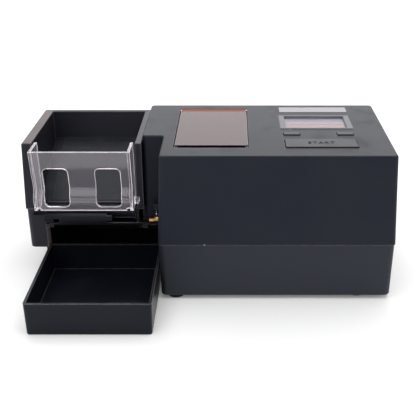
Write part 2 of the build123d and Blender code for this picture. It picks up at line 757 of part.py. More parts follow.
def make_chamber_lid():
    top = body_height + smoked_proud
    low = top - smoked_thickness
    half = smoked_thickness / 2
    left, right = smoked_left, smoked_left + smoked_length
    lid = block(left, right, smoked_front, smoked_axis_y(), low, top)
    lid += bar_x(left, right, smoked_axis_y(), smoked_axis_z(), half)
    lid -= block(left + 5, right - 5, smoked_front - 1, smoked_front + 1.2, low - 1, low + 1.4)
    lug_low = body_height - lip_pocket_deep + 0.4
    for x in (left, right - 2.5):
        lid += block(x, x + 2.5, smoked_front - lug_reach, smoked_front + 1, lug_low, lug_low + 1.2)
    for x in smoked_pin_places():
        lid -= bar_x(x, x + smoked_pin_length, smoked_axis_y(), smoked_axis_z(), smoked_pin_radius + running_fit)
    return lid


def make_chamber_lid_pins():
    pins = [bar_x(x + 0.1, x + smoked_pin_length - 0.1, smoked_axis_y(), smoked_axis_z(), smoked_pin_radius)
            for x in smoked_pin_places()]
    return pins[0] + pins[1]


def make_display_bezel():
    low = body_height - bezel_seat
    ring = block(bezel_left + 0.1, bezel_left + bezel_length - 0.1, bezel_front + 0.1,
                 bezel_front + bezel_depth - 0.1, low, body_height + bezel_proud)
    ring = fillet(edges_at_z(ring, body_height + bezel_proud), 0.4)
    return ring - block(bezel_left + bezel_side, bezel_left + bezel_length - bezel_side,
                        bezel_front + bezel_front_side, bezel_front + bezel_depth - bezel_front_side,
                        low - 1, body_height + 2)


def make_display_glass():
    side, front = bezel_side + 0.1, bezel_front_side + 0.1
    top = body_height - 0.3
    return block(bezel_left + side, bezel_left + bezel_length - side, bezel_front + front,
                 bezel_front + bezel_depth - front, top - glass_thickness, top)


def make_display_module():
    x0, x1 = bezel_left + 3, bezel_left + bezel_length - 3
    y0, y1 = bezel_front + 1, bezel_front + bezel_depth - 1
    top = body_height - 0.3 - glass_thickness - 0.4
    shape = block(x0, x1, y0, y1, top - 9, top - 7.4)
    shape += block(x0 + 5, x1 - 5, y0 + 4, y1 - 4, top - 7.5, top)
    for x in (x0 + 2, x1 - 2):
        for y in (y0 + 2, y1 - 2):
            shape += bar_z(x, y, board_z + board_thickness, top - 8, 1.6)
    return shape


def make_key(x, y, length, depth):
    """A key with a retaining flange under the cover and a stem."""
    top = body_height + key_proud
    ceiling = body_height - top_wall
    cap = block(x, x + length, y, y + depth, ceiling - 2, top)
    cap = fillet(edges_at_z(cap, top), 0.6)
    cap += block(x - 1.2, x + length + 1.2, y - 1.2, y + depth + 1.2, ceiling - 2.2, ceiling - 0.3)
    return cap + bar_z(x + length / 2, y + depth / 2, dome_top(), ceiling - 1, 3.0)


def dome_top():
    return board_z + board_thickness + 4.0


def make_start_key():
    return make_key(bezel_left + start_inset, start_front, bezel_length - 2 * start_inset, start_depth)


def make_key_dome(x, y):
    low = board_z + board_thickness
    dome = bar_z(x, y, low, dome_top(), 3.6) - bar_z(x, y, low - 0.1, dome_top() - key_travel - 0.4, 2.4)
    return dome + (bar_z(x, y, low, low + 0.8, 4.6) - bar_z(x, y, low - 0.1, low + 1, 2.4))


def key_centres():
    left, right = small_key_places()
    half_x, half_y = small_key_length / 2, small_key_depth / 2
    start_x = bezel_left + bezel_length / 2
    return {"start_dome": (start_x, start_front + start_depth / 2),
            "left_dome": (left + half_x, small_key_front + half_y),
            "right_dome": (right + half_x, small_key_front + half_y)}


def make_name_strip():
    """Blank name strip in a shallow recess."""
    low = body_height - 0.2
    strip = block(name_left + 0.1, name_left + name_length - 0.1, name_front + 0.1,
                  name_front + name_depth - 0.1, low, low + name_thickness)
    return fillet(edges_at_z(strip, low + name_thickness), 0.2)


# ---------------------------------------------------------------- filler chamber

def make_filler_chamber():
    """Hopper for the filler, with a channel at its foot and a flange under the cover."""
    left = chamber_left - chamber_wall
    right = chamber_left + chamber_length + chamber_wall
    top = body_height - top_wall
    w = 2.5
    outer = [(channel_front - w, channel_floor - 1.5), (channel_end, channel_floor - 1.5), (channel_end, channel_roof),
             (chamber_back + w, slope_back_z - 1.5), (chamber_back + w, top - 1), (chamber_front - w, top - 1),
             (chamber_front - w, 99.0), (channel_front - w, channel_roof)]
    body = side_profile(outer, left, right)
    flange_back = smoked_front + smoked_depth + 3
    body += block(left - 3, right + 3, chamber_front - 6, flange_back, top - flange_thickness, top)
    inner = [(channel_front, channel_floor), (channel_end + 1, channel_floor), (channel_end + 1, channel_roof - 1.5),
             (slope_foot_y, channel_roof - 1.5), (slope_foot_y, channel_roof), (chamber_back, slope_back_z + 1.5),
             (chamber_back, top + 1), (chamber_front, top + 1), (chamber_front, 100.0), (channel_front, channel_roof)]
    body -= side_profile(inner, chamber_left, chamber_left + chamber_length)
    body -= bar_x(left - 1, right + 1, station_y, station_z, nozzle_bore)
    legs = chassis_z + chassis_thickness
    for x in (left + 1.5, right - 4.5):
        for y in (channel_front - 1, channel_end - 6):
            body += block(x, x + 3, y, y + 5, legs, channel_floor - 1)
    return body


def make_packing_plate():
    """Plate that presses the filler against the channel's front wall, with its rack behind."""
    x0, x1 = chamber_left + 0.5, chamber_left + chamber_length - 0.5
    floor = channel_floor + 0.5
    top = channel_roof - 2.0
    plate = block(x0, x1, packer_rest, packer_rest + packer_thickness, floor, top)
    plate += block(x0, x1, packer_rest, packer_rest + packer_shelf, top - 2, top)
    centre = chamber_left + chamber_length / 2
    back = packer_rest + packer_thickness
    teeth = rack_outline(back - 0.5, packer_rack_length, packer_pitch_z, floor + 0.5, drive_module, packer_pinion_y, 1)
    return plate + side_profile(teeth, centre - 3.5, centre + 3.5)


def packer_pinion_z():
    return packer_pitch_z + packer_teeth * drive_module / 2 + gear_play


def make_packer_pinion():
    centre = chamber_left + chamber_length / 2
    # a gap faces the rack tooth below
    gear = gear_x(centre - 3, centre + 3, packer_pinion_y, packer_pinion_z(), packer_teeth, drive_module,
                  -90 + 180 / packer_teeth)
    return gear + bar_x(centre + 2, centre + 13, packer_pinion_y, packer_pinion_z(), 2.0)


def make_packer_bracket():
    centre = chamber_left + chamber_length / 2
    x = centre + 5.5
    low = chassis_z + chassis_thickness
    plate = block(x, x + 2, packer_pinion_y - 12, packer_pinion_y + 12, low, packer_pinion_z() + 7)
    plate += block(x, x + 12, packer_pinion_y - 12, packer_pinion_y + 12, low, low + 2)
    return plate - bar_x(x - 1, x + 3, packer_pinion_y, packer_pinion_z(), 2.6)


def make_packer_motor():
    x = chamber_left + chamber_length / 2 + 7.5
    y, z = packer_pinion_y, packer_pinion_z()
    motor = bar_x(x, x + 18, y, z, 12.0) + bar_x(x + 17, x + 40, y, z, 10.0)
    motor += bar_x(x + 39, x + 42, y, z, 4.0)
    return motor - bar_x(x - 1, x + 7, y, z, 2.0 + running_fit)


# ---------------------------------------------------------------- injector drive

def make_chassis_plate():
    low, high = chassis_z, chassis_z + chassis_thickness
    plate = block(4, body_length - 3, 8, body_depth - 8, low, high)
    slot_end = carriage_right + 1
    plate -= block(rail_left + 4, slot_end, station_y - 5, station_y + 5, low - 1, high + 1)
    for x, y in screw_centres:
        plate -= bar_z(x, y, low - 1, high + 1, 5.0)
    plate -= block(supply_left + 4, body_length, rail_y[1] + 24, body_depth, low - 1, high + 1)
    return plate


def make_injector_rod():
    end = carriage_right
    rod = bar_x(rod_tip, end, station_y, station_z, rod_radius)
    # the working end is a half-round spoon
    return rod - block(rod_tip - 1, carriage_left - 20, station_y - 4, station_y + 4, station_z + 0.8, station_z + 4)


def make_carriage():
    x0, x1 = carriage_left, carriage_right
    low, high = rail_z - 4.5, rail_z + 4.5
    body = block(x0, x1, rail_y[0] - 6, rail_y[1] + 4.5, low, high)
    body += block(x0, x1, station_y - 4, station_y + 4, high - 1, station_z + 6)
    for y in rail_y:
        body -= bar_x(x0 - 1, x1 + 1, y, rail_z, rail_radius + running_fit)
    return body - bar_x(x0 - 1, x1 + 1, station_y, station_z, rod_radius)


def make_carriage_rack():
    end = carriage_right
    half = rack_width / 2
    top = rail_z - 4.5
    teeth = rack_outline(end - rack_length, rack_length, rack_pitch_z, top, drive_module, drive_x, -1)
    return front_profile(teeth, station_y - half, station_y + half)


def make_guide_rails():
    end = carriage_right + 1 + bracket_thickness
    rails = [bar_x(rail_left, end, y, rail_z, rail_radius) for y in rail_y]
    return rails[0] + rails[1]


def make_rail_brackets():
    ends = (rail_left, carriage_right + 1)
    shapes = []
    for x in ends:
        plate = block(x, x + bracket_thickness, rail_y[0] - 6, rail_y[1] + 4.5, rail_z + 4.5 - 10, chassis_z)
        plate -= block(x - 1, x + bracket_thickness + 1, station_y - 5.5, station_y + 5.5, 30, rail_z + 2)
        for y in rail_y:
            plate -= bar_x(x - 1, x + bracket_thickness + 1, y, rail_z, rail_radius)
        shapes.append(plate)
    return shapes[0] + shapes[1]


def drive_z():
    return rack_pitch_z - drive_teeth * drive_module / 2 - gear_play


def make_drive_pinion():
    half = rack_width / 2 - 0.5
    gear = gear_y(drive_x, station_y - half, station_y + half, drive_z(), drive_teeth, drive_module,
                  90 + 180 / drive_teeth)
    return gear + bar_y(drive_x, station_y - half - 1.5, drive_bracket_y + 12, drive_z(), 3.0)


def make_drive_bracket():
    low = foot_height + wall
    y0, y1 = drive_bracket_y, drive_bracket_y + 2
    plate = block(drive_x - 20, drive_x + 20, y0, y1, low, rail_z - 7)
    plate += block(drive_x - 20, drive_x - 14, y0 - 12, y1, low, low + 2)
    plate += block(drive_x + 14, drive_x + 20, y0 - 12, y1, low, low + 2)
    return plate - bar_y(drive_x, y0 - 1, y1 + 1, drive_z(), 3.6)


def make_drive_motor():
    y = drive_bracket_y + 2
    z = drive_z()
    motor = bar_y(drive_x, y, y + gearbox_length, z, gearbox_radius)
    motor += bar_y(drive_x, y + gearbox_length - 1, y + gearbox_length + motor_length, z, motor_radius)
    motor += bar_y(drive_x, y + gearbox_length + motor_length - 1, y + gearbox_length + motor_length + 3, z, 5.0)
    return motor - bar_y(drive_x, y - 1, y + 10.5, z, 3.0 + running_fit)


# ---------------------------------------------------------------- electrics

def make_control_board():
    board = block(112, 212, 12, 132, board_z, board_z + board_thickness)
    board += block(120, 136, 100, 116, board_z - 3, board_z + 0.1)
    board += block(160, 180, 20, 34, board_z - 5, board_z + 0.1)
    for x, y in ((118, 18), (202, 18), (118, 126), (202, 126)):
        board += bar_z(x, y, board_z + board_thickness, body_height - top_wall, 2.5)
    for x, y in screw_centres:
        board -= bar_z(x, y, board_z - 1, board_z + board_thickness + 1, 5.0)
    return board


def make_power_supply():
    low = foot_height + wall
    x0 = supply_left
    board = block(x0, x0 + 60, 86, 150, low + 4, low + 5.6)
    board += block(x0 + 4, x0 + 32, 92, 122, low + 5.5, low + 34)
    for y in (100, 118):
        board += bar_z(x0 + 46, y, low + 5.5, low + 28, 7.0)
    for x in (x0 + 3, x0 + 57):
        for y in (89, 147):
            board += bar_z(x, y, low, low + 4.5, 2.0)
    return board


def back_face(z):
    """y of the base's rear wall at a height."""
    return body_depth + cover_flare - 0.5 - (seam_z - seam_gap - z) * tan(radians(base_draft))


def make_power_inlet():
    y = back_face(socket_z + inlet_size[1] / 2 + 1) + 0.2
    w, h = inlet_size[0] - 0.3, inlet_size[1] - 0.3
    body = block(inlet_x - w / 2, inlet_x + w / 2, y - 14, y, socket_z - h / 2, socket_z + h / 2)
    flange = block(inlet_x - w / 2 - 2, inlet_x + w / 2 + 2, y, y + 1.6, socket_z - h / 2 - 2, socket_z + h / 2 + 2)
    flange = fillet([e for e in flange.edges() if abs((e @ 1 - e @ 0).Y) > 1.5], 2.5)
    socket = block(inlet_x - 10, inlet_x + 10, y - 11, y + 3, socket_z - 6.5, socket_z + 6.5)
    socket = fillet([e for e in socket.edges() if abs((e @ 1 - e @ 0).Y) > 5 and (e @ 0).Z > socket_z], 4.0)
    body = body + flange - socket
    for dx, dz in ((-6, -1.5), (0, 1.5), (6, -1.5)):
        body += block(inlet_x + dx - 1, inlet_x + dx + 1, y - 12, y - 2, socket_z + dz - 2, socket_z + dz + 2)
    return body


def switch_y():
    return back_face(socket_z + switch_size[1] / 2 + 1) + 0.2


def make_switch_frame():
    y = switch_y()
    w, h = switch_size[0] - 0.3, switch_size[1] - 0.3
    frame = block(switch_x - w / 2, switch_x + w / 2, y - 13, y, socket_z - h / 2, socket_z + h / 2)
    flange = block(switch_x - w / 2 - 1.5, switch_x + w / 2 + 1.5, y, y + 1.6, socket_z - h / 2 - 1.5,
                   socket_z + h / 2 + 1.5)
    frame = frame + fillet([e for e in flange.edges() if abs((e @ 1 - e @ 0).Y) > 1.5], 1.5)
    frame -= block(switch_x - 8.8, switch_x + 8.8, y - 9, y + 3, socket_z - 5.6, socket_z + 5.6)
    return frame - bar_z(switch_x, y - rocker_depth, socket_z - rocker_pin_reach - 0.3,
                         socket_z + rocker_pin_reach + 0.3, rocker_pin_radius + running_fit)


def make_power_rocker():
    """Rocker that tips about an upright pin, shown pressed at one end."""
    y = switch_y() - rocker_depth
    shape = [(-8.0, 2.6), (0, 1.2), (8.0, 2.6), (6.5, -3.0), (-6.5, -3.0)]
    plane = Plane(origin=(switch_x, y, socket_z - 5.2))
    rocker = extrude(plane * make_face(Polyline(*shape, close=True)), 10.4)
    turn = Location((switch_x, y, 0)) * Rot(0, 0, -rocker_tilt) * Location((-switch_x, -y, 0))
    pin = bar_z(switch_x, y, socket_z - rocker_pin_reach, socket_z + rocker_pin_reach, rocker_pin_radius)
    return turn * rocker + pin


def make_feet():
    feet = [bar_z(x, y, 0, foot_height + 0.6, foot_radius) for x, y in foot_centres]
    feet.append(bar_z(*module_foot_centre(), 0, foot_height, module_foot_radius))
    feet = [fillet(edges_at_z(f, 0), 0.8) for f in feet]
    return Compound(children=[f.solid() for f in feet])


def make_case_screws():
    screws = []
    for x, y in screw_centres:
        head = bar_z(x, y, foot_height + 4.0, foot_height + 7.0, 3.2)
        head -= block(x - 0.5, x + 0.5, y - 2, y + 2, foot_height + 3, foot_height + 5)
        head -= block(x - 2, x + 2, y - 0.5, y + 0.5, foot_height + 3, foot_height + 5)
        screws.append((head + bar_z(x, y, foot_height + 6, seam_z + 14, 1.5)).solid())
    return Compound(children=screws)


def make_all():
    """Every sub-part by its node name."""
    pieces = {
        "top_cover": make_top_cover(), "base_tub": make_base_tub(), "hopper_shell": make_hopper_shell(),
        "left_base": make_left_base(), "hopper_ramp": make_hopper_ramp(), "ramp_strip": make_ramp_strip(),
        "hopper_lid": make_hopper_lid(), "tube_guard": make_tube_guard(), "tube_sensor": make_tube_sensor(),
        "drop_flap": make_drop_flap(), "nozzle": make_nozzle(), "nozzle_collar": make_nozzle_collar(),
        "clamp_arm": make_clamp_arm(), "clamp_pin": make_clamp_pin(), "feed_drum": make_feed_drum(),
        "drum_gear": make_drum_gear(), "feed_pinion": make_feed_pinion(), "feed_motor": make_feed_motor(),
        "catch_tray": make_tray(), "chamber_lid": make_chamber_lid(), "chamber_lid_pins": make_chamber_lid_pins(),
        "display_bezel": make_display_bezel(), "display_glass": make_display_glass(),
        "display_module": make_display_module(), "start_key": make_start_key(),
        "name_strip": make_name_strip(), "filler_chamber": make_filler_chamber(),
        "packing_plate": make_packing_plate(), "packer_pinion": make_packer_pinion(),
        "packer_bracket": make_packer_bracket(), "packer_motor": make_packer_motor(),
        "chassis_plate": make_chassis_plate(), "injector_rod": make_injector_rod(), "carriage": make_carriage(),
        "carriage_rack": make_carriage_rack(), "guide_rails": make_guide_rails(),
        "rail_brackets": make_rail_brackets(), "drive_pinion": make_drive_pinion(),
        "drive_bracket": make_drive_bracket(), "drive_motor": make_drive_motor(),
        "control_board": make_control_board(), "power_supply": make_power_supply(),
        "power_inlet": make_power_inlet(), "switch_frame": make_switch_frame(),
        "power_rocker": make_power_rocker(), "feet": make_feet(), "case_screws": make_case_screws(),
    }
    for name, x in zip(("left_key", "right_key"), small_key_places()):
        pieces[name] = make_key(x, small_key_front, small_key_length, small_key_depth)
    for name, (x, y) in key_centres().items():
        pieces[name] = make_key_dome(x, y)
    return pieces


if __name__ == "__main__":
    os.makedirs("parts", exist_ok=True)
    for name, shape in make_all().items():
        write(name, shape)
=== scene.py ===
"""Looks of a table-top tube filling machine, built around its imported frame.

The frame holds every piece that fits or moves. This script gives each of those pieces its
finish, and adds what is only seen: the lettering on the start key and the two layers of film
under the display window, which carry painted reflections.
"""

from __future__ import annotations

import logging
import math
from dataclasses import dataclass, field
from enum import Enum

import bmesh
import bpy
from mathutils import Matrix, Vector

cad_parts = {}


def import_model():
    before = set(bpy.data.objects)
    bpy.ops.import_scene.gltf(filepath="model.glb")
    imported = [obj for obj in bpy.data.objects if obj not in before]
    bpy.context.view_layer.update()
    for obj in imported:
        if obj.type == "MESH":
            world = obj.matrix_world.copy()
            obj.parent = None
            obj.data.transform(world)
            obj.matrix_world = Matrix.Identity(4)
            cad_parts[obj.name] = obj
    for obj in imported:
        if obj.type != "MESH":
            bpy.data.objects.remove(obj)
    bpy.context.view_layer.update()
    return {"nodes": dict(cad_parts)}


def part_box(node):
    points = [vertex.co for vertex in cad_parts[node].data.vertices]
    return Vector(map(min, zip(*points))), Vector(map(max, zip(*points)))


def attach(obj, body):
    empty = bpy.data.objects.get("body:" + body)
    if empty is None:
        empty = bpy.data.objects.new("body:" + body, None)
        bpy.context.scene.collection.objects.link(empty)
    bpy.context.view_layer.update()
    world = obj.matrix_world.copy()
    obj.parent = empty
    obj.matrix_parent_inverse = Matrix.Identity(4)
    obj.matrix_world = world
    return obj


LOG = logging.getLogger("tube_filling_machine")
MM = 0.001
ACRYLIC_IOR = 1.49
SMOOTH_ANGLE = math.radians(35)
FACING = 0.9  # least cosine of a face that looks the asked way

Colour = tuple[float, float, float]


class Body(Enum):
    """The moving bodies that new pieces ride on."""

    HOUSING = "root"
    START_KEY = "start_key"


# ------------------------------------------------------------------------------ node graphs


class Graph:
    """Adds nodes to one node tree and joins them."""

    def __init__(self, tree: bpy.types.NodeTree) -> None:
        """Keeps the tree that the nodes go into."""
        self.tree = tree

    def node(self, kind: str, **settings: object) -> bpy.types.Node:
        """Adds one node.

        Args:
            kind: Blender's type name of the node.
            **settings: Properties of the node and their values.

        Returns:
            The new node.
        """
        made = self.tree.nodes.new(kind)
        for name, value in settings.items():
            setattr(made, name, value)
        return made

    def feed(self, socket: bpy.types.NodeSocket, value: object) -> None:
        """Joins a socket to another one, or sets it to a constant."""
        if isinstance(value, bpy.types.NodeSocket):
            self.tree.links.new(value, socket)
        else:
            socket.default_value = value

    def maths(self, operation: str, first: object, second: object = 0.0) -> bpy.types.NodeSocket:
        """Adds a Math node.

        Args:
            operation: Name of the operation, such as MULTIPLY.
            first: Constant or socket.
            second: Constant or socket.

        Returns:
            The result's socket.
        """
        made = self.node("ShaderNodeMath", operation=operation)
        self.feed(made.inputs[0], first)
        self.feed(made.inputs[1], second)
        return made.outputs[0]

    def noise(self, vector: object, scale: object, detail: float = 2.0) -> bpy.types.NodeSocket:
        """Adds a Noise texture.

        Args:
            vector: Socket with the coordinates.
            scale: Features per metre, as a constant or a socket.
            detail: Number of finer layers.

        Returns:
            The grey value's socket.
        """
        made = self.node("ShaderNodeTexNoise")
        self.feed(made.inputs["Vector"], vector)
        self.feed(made.inputs["Scale"], scale)
        made.inputs["Detail"].default_value = detail
        return made.outputs["Fac"]

    def step(self, value: object, low: object, high: object) -> bpy.types.NodeSocket:
        """Adds a smooth step from 0 at low to 1 at high, and returns its socket."""
        made = self.node("ShaderNodeMapRange", interpolation_type="SMOOTHSTEP")
        self.feed(made.inputs["Value"], value)
        self.feed(made.inputs["From Min"], low)
        self.feed(made.inputs["From Max"], high)
        return made.outputs["Result"]

    def mix(self, factor: object, first: object, second: object) -> bpy.types.NodeSocket:
        """Adds a colour mix and returns its socket; plain colours are given as three numbers."""
        made = self.node("ShaderNodeMix", data_type="RGBA")
        self.feed(made.inputs[0], factor)
        for socket, value in ((made.inputs[6], first), (made.inputs[7], second)):
            self.feed(socket, (*value, 1.0) if isinstance(value, tuple) else value)
        return made.outputs[2]

    def place(self, tree: bpy.types.NodeTree, **values: object) -> bpy.types.Node:
        """Places a node group.

        Args:
            tree: The group's tree.
            **values: Constants or sockets for its inputs, with _ for a space in a name.

        Returns:
            The group node.
        """
        made = self.node("ShaderNodeGroup", node_tree=tree)
        for name, value in values.items():
            self.feed(made.inputs[name.replace("_", " ")], value)
        return made


class Effects:
    """Shader node groups that several finishes share, each built once."""

    FLAT = 0.995  # cosine between the bevelled and the true normal on a flat face
    SHARP = 0.86  # the same beside an edge
    RUB_SCALE = 160.0
    DRIFT_SCALE = 14.0
    SPECK_SIZE = 0.075  # radius of the largest speck, as a share of the spacing
    STREAK_SCALE = 950.0
    PATCH_SCALE = 38.0

    @staticmethod
    def _start(name: str, inputs: dict[str, float], outputs: list[str]) -> tuple:
        """Makes an empty group with named sockets.

        Args:
            name: Name of the group.
            inputs: Names of the number inputs and their usual values.
            outputs: Names of the outputs.

        Returns:
            The tree, a Graph on it, its input node and its output node.
        """
        tree = bpy.data.node_groups.new(name, "ShaderNodeTree")
        tree.interface.new_socket("Vector", in_out="INPUT", socket_type="NodeSocketVector")
        for label, value in inputs.items():
            socket = tree.interface.new_socket(label, in_out="INPUT", socket_type="NodeSocketFloat")
            socket.default_value = value
        for label in outputs:
            tree.interface.new_socket(label, in_out="OUTPUT", socket_type="NodeSocketFloat")
        graph = Graph(tree)
        return tree, graph, graph.node("NodeGroupInput"), graph.node("NodeGroupOutput")

    @classmethod
    def moulded_skin(cls) -> bpy.types.NodeTree:
        """Fine spark-eroded grain of a moulded case, with a slow drift in gloss.

        Returns:
            The group: Size in metres in, Height and Drift out.
        """
        if "moulded skin" in bpy.data.node_groups:
            return bpy.data.node_groups["moulded skin"]
        tree, graph, given, result = cls._start("moulded skin", {"Size": 0.6 * MM},
                                                ["Height", "Drift"])
        scale = graph.maths("DIVIDE", 1.0, given.outputs["Size"])
        grain = graph.noise(given.outputs["Vector"], scale, 3.0)
        pits = graph.node("ShaderNodeTexVoronoi", feature="SMOOTH_F1")
        graph.feed(pits.inputs["Vector"], given.outputs["Vector"])
        graph.feed(pits.inputs["Scale"], scale)
        both = graph.maths("MULTIPLY", grain, pits.outputs["Distance"])
        height = graph.maths("ADD", both, graph.maths("MULTIPLY", grain, 0.5))
        graph.feed(result.inputs["Height"], height)
        drift = graph.noise(given.outputs["Vector"], cls.DRIFT_SCALE, 4.0)
        graph.feed(result.inputs["Drift"], drift)
        return tree

    @classmethod
    def edge_rub_and_highlight(cls) -> bpy.types.NodeTree:
        """Pale edges, partly rubbed and partly a painted highlight where rounded edges catch light,
        broken up along their length.

        Returns:
            The group: Reach in metres in, Mask out.
        """
        if "edge rub and highlight" in bpy.data.node_groups:
            return bpy.data.node_groups["edge rub and highlight"]
        tree, graph, given, result = cls._start("edge rub and highlight", {"Reach": 0.6 * MM}, ["Mask"])
        bevel = graph.node("ShaderNodeBevel", samples=4)
        graph.feed(bevel.inputs["Radius"], given.outputs["Reach"])
        geometry = graph.node("ShaderNodeNewGeometry")
        dot = graph.node("ShaderNodeVectorMath", operation="DOT_PRODUCT")
        graph.feed(dot.inputs[0], bevel.outputs["Normal"])
        graph.feed(dot.inputs[1], geometry.outputs["Normal"])
        edge = graph.step(dot.outputs["Value"], cls.FLAT, cls.SHARP)
        rubbed = graph.step(graph.noise(given.outputs["Vector"], cls.RUB_SCALE, 4.0), 0.3, 0.6)
        part = graph.maths("ADD", graph.maths("MULTIPLY", rubbed, 0.45), 0.55)
        graph.feed(result.inputs["Mask"], graph.maths("MULTIPLY", edge, part))
        return tree

    @classmethod
    def dust(cls) -> bpy.types.NodeTree:
        """Scattered pale specks of unequal size.

        Returns:
            The group: Spacing in metres and Amount in, Mask out.
        """
        if "dust" in bpy.data.node_groups:
            return bpy.data.node_groups["dust"]
        tree, graph, given, result = cls._start("dust", {"Spacing": 17 * MM, "Amount": 0.5},
                                                ["Mask"])
        cells = graph.node("ShaderNodeTexVoronoi", feature="F1")
        graph.feed(cells.inputs["Vector"], given.outputs["Vector"])
        graph.feed(cells.inputs["Scale"], graph.maths("DIVIDE", 1.0, given.outputs["Spacing"]))
        chance = graph.node("ShaderNodeSeparateColor")
        graph.feed(chance.inputs[0], cells.outputs["Color"])
        size = graph.maths("MULTIPLY", graph.step(chance.outputs[0], 0.45, 1.0), cls.SPECK_SIZE)
        near = graph.step(cells.outputs["Distance"], size, 0.0)
        seen = graph.maths("MULTIPLY", near, graph.step(chance.outputs[1], 0.2, 0.9))
        graph.feed(result.inputs["Mask"], graph.maths("MULTIPLY", seen, given.outputs["Amount"]))
        return tree

    @classmethod
    def scuffs(cls) -> bpy.types.NodeTree:
        """Hairline rubs and dull wiped patches.

        Returns:
            The group: Amount in, Lines and Patches out.
        """
        if "scuffs" in bpy.data.node_groups:
            return bpy.data.node_groups["scuffs"]
        tree, graph, given, result = cls._start("scuffs", {"Amount": 0.5}, ["Lines", "Patches"])
        lines = None
        for turn, stretch in ((0.5, 0.02), (-0.9, 0.035)):
            along = graph.node("ShaderNodeMapping")
            graph.feed(along.inputs["Vector"], given.outputs["Vector"])
            along.inputs["Rotation"].default_value = (0.0, 0.0, turn)
            along.inputs["Scale"].default_value = (stretch, 1.0, 1.0)
            streak = graph.step(graph.noise(along.outputs[0], cls.STREAK_SCALE, 1.0), 0.69, 0.78)
            lines = streak if lines is None else graph.maths("MAXIMUM", lines, streak)
        patches = graph.step(graph.noise(given.outputs["Vector"], cls.PATCH_SCALE, 5.0), 0.52, 0.74)
        upward = graph.node("ShaderNodeSeparateXYZ")
        graph.feed(upward.inputs[0], graph.node("ShaderNodeTexCoord").outputs["Normal"])
        touched = graph.step(upward.outputs["Z"], 0.3, 0.9)
        for label, mask in (("Lines", lines), ("Patches", patches)):
            amount = graph.maths("MULTIPLY", touched, given.outputs["Amount"])
            graph.feed(result.inputs[label], graph.maths("MULTIPLY", mask, amount))
        return tree


# ------------------------------------------------------------------------------ finishes


def new_material(name: str) -> tuple[bpy.types.Material, Graph, bpy.types.Node,
                                     bpy.types.NodeSocket]:
    """Makes a material with one Principled shader.

    Args:
        name: Name of the material.

    Returns:
        The material, a Graph on its nodes, the shader and the object coordinates.
    """
    material = bpy.data.materials.new(name)
    material.use_nodes = True
    graph = Graph(material.node_tree)
    shader = material.node_tree.nodes["Principled BSDF"]
    places = graph.node("ShaderNodeTexCoord").outputs["Object"]
    return material, graph, shader, places


@dataclass(frozen=True)
class MouldedPlastic:
    """A moulded case plastic: its colour, its skin, how it has been handled, and the highlights
    painted on its edges.
    """

    name: str
    colour: Colour
    cloud: Colour
    roughness: float = 0.5
    grain: float = 0.7 * MM
    depth: float = 0.05 * MM
    # edge, edge_colour and reach: pale edges, partly rubbed and partly a painted highlight
    edge: float = 0.35
    edge_colour: Colour = (0.16, 0.155, 0.16)
    reach: float = 0.7 * MM
    dust: float = 0.0
    scuff: float = 0.0
    shine: float = 0.4
    shine_tint: Colour = (0.76, 0.86, 1.0)
    # Colour of the hopper wall's top face: rubbing and a painted reflection.
    rim_rub_and_reflection_colour: Colour | None = None
    rim_end: float = 0.0

    def make(self) -> bpy.types.Material:
        """Builds the material.

        Returns:
            The finished material.
        """
        material, graph, shader, places = new_material(self.name)
        skin = graph.place(Effects.moulded_skin(), Vector=places, Size=self.grain)
        rub_and_highlight = graph.place(Effects.edge_rub_and_highlight(), Vector=places, Reach=self.reach)
        drift = skin.outputs["Drift"]
        colour = graph.mix(graph.step(drift, 0.3, 0.7), self.colour, self.cloud)
        rough = graph.maths("ADD", graph.maths("MULTIPLY", drift, 0.12), self.roughness - 0.06)
        if self.scuff:
            scuffs = graph.place(Effects.scuffs(), Vector=places, Amount=self.scuff)
            patches = graph.maths("MULTIPLY", scuffs.outputs["Patches"], 0.12)
            lines = graph.maths("MULTIPLY", scuffs.outputs["Lines"], 0.22)
            colour = graph.mix(graph.maths("MAXIMUM", patches, lines), colour, self.edge_colour)
            rough = graph.maths("ADD", rough, patches)
        # Wall top: rubbing and a painted reflection.
        if self.rim_rub_and_reflection_colour:
            colour = graph.mix(self.rim(graph, places), colour, self.rim_rub_and_reflection_colour)
        # Pale edges: rubbing and a painted highlight where rounded edges catch light.
        edge = graph.maths("MULTIPLY", rub_and_highlight.outputs["Mask"], self.edge)
        colour = graph.mix(edge, colour, self.edge_colour)
        if self.dust:
            specks = graph.place(Effects.dust(), Vector=places, Amount=self.dust)
            colour = graph.mix(specks.outputs["Mask"], colour, (0.62, 0.61, 0.60))
        bump = graph.node("ShaderNodeBump")
        bump.inputs["Distance"].default_value = self.depth
        bump.inputs["Strength"].default_value = 0.6
        graph.feed(bump.inputs["Height"], skin.outputs["Height"])
        graph.feed(shader.inputs["Base Color"], colour)
        graph.feed(shader.inputs["Roughness"], rough)
        graph.feed(shader.inputs["Normal"], bump.outputs[0])
        shader.inputs["Specular IOR Level"].default_value = self.shine
        shader.inputs["Specular Tint"].default_value = (*self.shine_tint, 1.0)
        return material

    def rim(self, graph: Graph, places: bpy.types.NodeSocket) -> bpy.types.NodeSocket:
        """Masks the upward faces left of rim_end, the wall's top, where hands have rubbed it and a
        brownish reflection is painted.

        Args:
            graph: Graph of the material.
            places: Object coordinates.

        Returns:
            The mask's socket.
        """
        place = graph.node("ShaderNodeSeparateXYZ")
        graph.feed(place.inputs[0], places)
        facing = graph.node("ShaderNodeSeparateXYZ")
        graph.feed(facing.inputs[0], graph.node("ShaderNodeTexCoord").outputs["Normal"])
        left = graph.step(place.outputs["X"], self.rim_end, self.rim_end - 0.5 * MM)
        return graph.maths("MULTIPLY", left, graph.step(facing.outputs["Z"], 0.3, 0.9))


